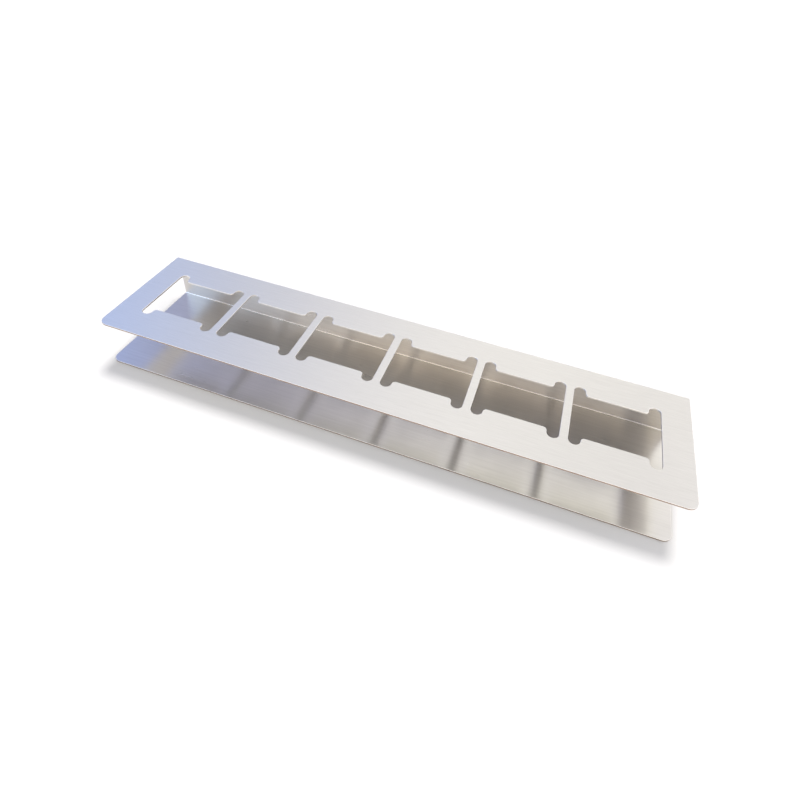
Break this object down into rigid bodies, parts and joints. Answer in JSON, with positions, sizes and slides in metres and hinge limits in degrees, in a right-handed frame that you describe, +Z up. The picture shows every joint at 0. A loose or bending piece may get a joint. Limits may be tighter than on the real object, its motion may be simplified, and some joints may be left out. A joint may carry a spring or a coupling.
{
  "type": "slide staining rack",
  "caption": "Folded stainless sheet channel with a row of eared openings in its top plate that hold staining jars upright over its bottom plate.",
  "frame": {"origin": "middle of the bottom plate's underside, which rests on the bench", "axes": "+X along the row of openings, to the right seen from the open front; +Y from the open front to the back wall; +Z up"},
  "size_m": [0.47, 0.11, 0.043],
  "materials": {
    "brushed_stainless": "grained along the length, satin"
  },
  "bodies": {
    "root": {"folded_rack": "brushed_stainless"}
  },
  "joints": []
}
